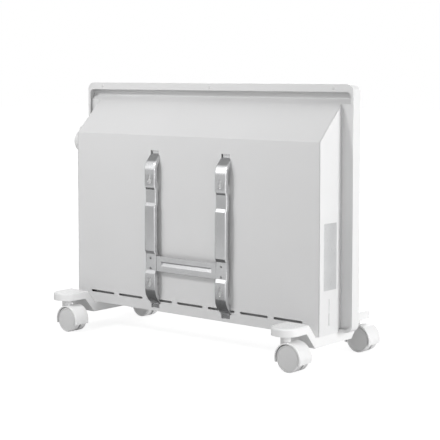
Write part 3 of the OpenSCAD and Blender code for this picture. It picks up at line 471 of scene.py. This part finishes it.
def makeWheel(end, side, values):
    r, w, inner = values["radius"], values["wide"], values["wide"] - values["disc"]
    flat, ring, slope = r - values["bevel"], values["ring"], values["slope"]
    rimInside, bore, top = r - values["rim"], values["bore"], inner + values["boreOver"]
    count = values["domeSteps"]
    dome = [((flat - ring - values["groove"]) * k / count, w - values["dome"] * (k / count) ** 2)
            for k in range(count + 1)]
    rim = [(flat - ring, w), (flat + ring, w - slope), (r - ring, w - values["bevel"] + slope),
           (r, w - values["bevel"] - values["soft"]), (r, values["innerEdge"]),
           (r - values["innerEdge"], 0)]
    hollow = [(rimInside, 0), (rimInside, inner), (values["hub"], inner), (values["hub"], 0),
              (bore, 0), (bore, top), (0, top)]
    mesh = bmesh.new()
    spinProfile(mesh, dome + rim + hollow, values["steps"])
    name = "castor_" + end + "_wheel_" + side
    low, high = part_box(name)
    middle = (low + high) / 2
    outward = 1 if side == "a" else -1
    mesh.transform(Matrix.Translation((middle.x, middle.y - outward * w / 2 * mm, middle.z))
                   @ Matrix.Rotation(-outward * math.pi / 2, 4, "X"))
    piece = finishPiece(name + "_turned", mesh, "wheel_" + end + "_" + side, "wheel_plastic",
                        smooth=25)
    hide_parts(name)


for end in castorEnds:
    for side in "ab":
        makeWheel(end, side, wheelShape)
print("wheels made")


# hollow rivets; lengths in mm, heights from the top of the head
rivetShape = {"across": 5, "head": 0.9, "shank": 3, "eye": 2.2, "eyeDeep": 1.6, "lip": 0.4,
              "round": 0.1}


def makeRivets(values):
    low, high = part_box("bracket_rivets")
    r, eye, shank = values["across"] / 2, values["eye"] / 2, values["shank"] / 2
    head, deep = -values["head"], -values["eyeDeep"]
    back = (low.y - high.y) / mm
    profile = [(0, deep), (eye * 0.8, deep), (eye * 0.85, -0.25), (eye, -0.04),
               (eye + values["lip"], 0), (r * 0.85, -0.3), (r, head + values["round"]), (r, head),
               (shank, head), (shank, back - head), (r, back - head), (r * 0.6, back), (0, back)]
    mesh = bmesh.new()
    for x in (low.x + r * mm, high.x - r * mm):
        for z in (low.z + r * mm, high.z - r * mm):
            rivet = bmesh.new()
            spinProfile(rivet, profile)
            rivet.transform(Matrix.Translation((x, high.y, z)) @ toBack)
            joinTo(mesh, rivet)
    piece = finishPiece("hollow_rivets", mesh, "case", "rivet_steel")
    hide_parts("bracket_rivets")


makeRivets(rivetShape)


# sheet that guides the air past the slots, inside the back cover; lengths in mm
airGuide = {"wide": 470, "inward": 9, "thick": 0.8, "z": (58, 75)}


def makeAirGuide(values):
    z0, z1 = values["z"]
    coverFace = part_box("back_cover")[1].y / mm
    mesh = bmesh.new()
    addBar(mesh, (values["wide"], values["thick"], z1 - z0),
           (0, coverFace - values["inward"] - values["thick"] / 2, (z0 + z1) / 2))
    finishPiece("air_guide", mesh, "case", "case_paint")


makeAirGuide(airGuide)


# grip ribs round the knob and marks on the bezel; lengths in mm, angles in degrees
knobGrip = {"ribs": 40, "wide": 1.1, "high": 0.5, "long": 12, "setBack": 1, "round": 0.3}
bezelMarks = {"count": 9, "ring": 20.9, "from": -130, "step": 32.5, "across": 1.0, "top": 0.8,
              "high": 0.25}


def makeKnobRibs(values):
    low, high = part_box("thermostat_knob")
    size = Matrix.Diagonal((values["long"] * mm, values["wide"] * mm, values["high"] * 2 * mm, 1))
    outward = Matrix.Translation((values["long"] / 2 * mm, 0, (high.z - low.z) / 2))
    axis = Matrix.Translation((low.x + values["setBack"] * mm, (low.y + high.y) / 2,
                               (low.z + high.z) / 2))
    mesh = bmesh.new()
    for k in range(values["ribs"]):
        turn = Matrix.Rotation(math.tau * k / values["ribs"], 4, "X")
        bmesh.ops.create_cube(mesh, size=1, matrix=axis @ turn @ outward @ size)
    bmesh.ops.bevel(mesh, geom=mesh.edges[:], offset=values["round"] * mm, segments=2,
                    profile=0.5, affect="EDGES", material=-1)
    finishPiece("knob_ribs", mesh, "knob", "white_plastic")


def makeBezelMarks(values):
    low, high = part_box("thermostat_knob")
    middle = (low + high) / 2
    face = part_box("control_bezel")[1].x
    r = values["across"] / 2 * mm
    mesh = bmesh.new()
    for k in range(values["count"]):
        angle = math.radians(values["from"] + k * values["step"])
        spot = Vector((face, middle.y + values["ring"] * math.sin(angle) * mm,
                       middle.z + values["ring"] * math.cos(angle) * mm))
        bmesh.ops.create_cone(mesh, cap_ends=True, segments=20, radius1=r,
                              radius2=r * values["top"], depth=values["high"] * 2 * mm,
                              matrix=Matrix.Translation(spot) @ Matrix.Rotation(math.pi / 2, 4, "Y"))
    finishPiece("bezel_marks", mesh, "case", "black_plastic")


makeKnobRibs(knobGrip)
makeBezelMarks(bezelMarks)
print("pieces made")


# floor, cards, background and lamps; lengths in m

floorLook = {
    "half": 12,
    "albedo": 0.75,        # for the light that it throws back on the object
    "seenAlbedo": 0.3,     # for the shadow that the camera sees
    "seenGlow": 0.84,      # brings the seen floor near white
    "white": (0.55, 1.6),  # distances between which it fades to full white
}
cards = {
    "low": {"middle": (0.3, 0.22, 0.003), "size": (2, 0.5), "grey": 0.08},
    "far": {"middle": (1.5, 1.9, 0.003), "size": (2.4, 2.4), "grey": 0.85},
    "high": {"middle": (0, -0.4, 1.2), "size": (3, 1.6), "grey": 0.35},
}
worldLook = {"seen": 1.0, "light": 0.2}
lampAim = Vector((0, 0, 0.25))
lamps = {
    "key": {"from": (0.55, 0.73, 0.4), "away": 1.4, "size": (0.25, 0.9), "watts": 1.5},
    "high": {"from": (0.342, 0.94, 0.81), "away": 1.4, "size": (0.25, 0.25), "watts": 7},
    "side": {"from": (-1, -0.04, 0.2), "away": 2.4, "size": (0.6, 1), "watts": 31},
    "front": {"from": (-0.6, 0.75, 0.2), "away": 2.6, "size": (1.6, 1.6), "watts": 7.5},
    "top": {"from": (-0.1, 0, 1), "away": 1.6, "size": (1.2, 1.2), "watts": 6.5},
    "fill": {"from": (0.4, -1, 0.3), "away": 2.6, "size": (2, 2), "watts": 26},
}


def seenRays(tree):
    # 1 for rays from the camera, mirrors and glass, 0 for the light on the object
    path = tree.nodes.new("ShaderNodeLightPath")
    total = path.outputs["Is Camera Ray"]
    for name in ("Is Glossy Ray", "Is Transmission Ray"):
        add = tree.nodes.new("ShaderNodeMath")
        add.operation = "MAXIMUM"
        tree.links.new(total, add.inputs[0])
        tree.links.new(path.outputs[name], add.inputs[1])
        total = add.outputs["Value"]
    return total


def mixByRay(tree, unseen, seen):
    mix = tree.nodes.new("ShaderNodeMixShader")
    tree.links.new(seenRays(tree), mix.inputs["Fac"])
    tree.links.new(unseen, mix.inputs[1])
    tree.links.new(seen, mix.inputs[2])
    return mix.outputs["Shader"]


def floorGlow(tree, look):
    # full white away from the object, so that no horizon shows
    glow = tree.nodes.new("ShaderNodeEmission")
    away = tree.nodes.new("ShaderNodeVectorMath")
    away.operation = "LENGTH"
    fade = tree.nodes.new("ShaderNodeMapRange")
    fade.interpolation_type = "SMOOTHSTEP"
    fade.inputs["From Min"].default_value = look["white"][0]
    fade.inputs["From Max"].default_value = look["white"][1]
    fade.inputs["To Min"].default_value = look["seenGlow"]
    fade.inputs["To Max"].default_value = 1
    tree.links.new(tree.nodes.new("ShaderNodeTexCoord").outputs["Object"], away.inputs[0])
    tree.links.new(away.outputs["Value"], fade.inputs["Value"])
    tree.links.new(fade.outputs["Result"], glow.inputs["Strength"])
    return glow.outputs["Emission"]


def makeFloor(look):
    mesh = bmesh.new()
    bmesh.ops.create_grid(mesh, x_segments=1, y_segments=1, size=look["half"])
    floor = meshObject("floor", mesh)
    material = bpy.data.materials.new("floorPale")
    material.use_nodes = True
    tree = material.node_tree
    tree.nodes.remove(tree.nodes["Principled BSDF"])
    plain = tree.nodes.new("ShaderNodeBsdfDiffuse")
    plain.inputs["Color"].default_value = grey(look["albedo"])
    shaded = tree.nodes.new("ShaderNodeBsdfDiffuse")
    shaded.inputs["Color"].default_value = grey(look["seenAlbedo"])
    both = tree.nodes.new("ShaderNodeAddShader")
    tree.links.new(shaded.outputs["BSDF"], both.inputs[0])
    tree.links.new(floorGlow(tree, look), both.inputs[1])
    tree.links.new(mixByRay(tree, plain.outputs["BSDF"], both.outputs["Shader"]),
                   tree.nodes["Material Output"].inputs["Surface"])
    floor.data.materials.append(material)


def makeCard(name, values):
    # a card that shows only in reflections, over or under the object as in a studio
    mesh = bmesh.new()
    bmesh.ops.create_grid(mesh, x_segments=1, y_segments=1, size=0.5,
                          matrix=Matrix.Translation(values["middle"])
                          @ Matrix.Diagonal((*values["size"], 1, 1)))
    card = meshObject(name + "_card", mesh)
    material = bpy.data.materials.new(name + "Card")
    material.use_nodes = True
    shader = material.node_tree.nodes["Principled BSDF"]
    shader.inputs["Base Color"].default_value = grey(values["grey"])
    shader.inputs["Roughness"].default_value = 1
    card.data.materials.append(material)
    card.visible_camera = False
    card.visible_diffuse = False
    card.visible_shadow = False
    card.visible_transmission = False


def makeWorld(look):
    world = bpy.data.worlds.new("world")
    scene.world = world
    world.use_nodes = True
    tree = world.node_tree
    light = tree.nodes["Background"]
    light.inputs["Color"].default_value = grey(1)
    light.inputs["Strength"].default_value = look["light"]
    seen = tree.nodes.new("ShaderNodeBackground")
    seen.inputs["Color"].default_value = grey(1)
    seen.inputs["Strength"].default_value = look["seen"]
    tree.links.new(mixByRay(tree, light.outputs["Background"], seen.outputs["Background"]),
                   tree.nodes["World Output"].inputs["Surface"])


def makeLamp(name, values):
    data = bpy.data.lights.new(name, "AREA")
    data.energy = values["watts"]
    data.shape = "RECTANGLE"
    data.size, data.size_y = values["size"]
    lamp = bpy.data.objects.new(name, data)
    toLamp = Vector(values["from"]).normalized()
    lamp.location = lampAim + toLamp * values["away"]
    lamp.rotation_euler = toLamp.to_track_quat("Z", "Y").to_euler()
    scene.collection.objects.link(lamp)


makeFloor(floorLook)
for name, values in cards.items():
    makeCard(name, values)
makeWorld(worldLook)
for name, values in lamps.items():
    makeLamp(name, values)
scene.view_settings.view_transform = "Standard"
print("floor, cards, background and lamps made")
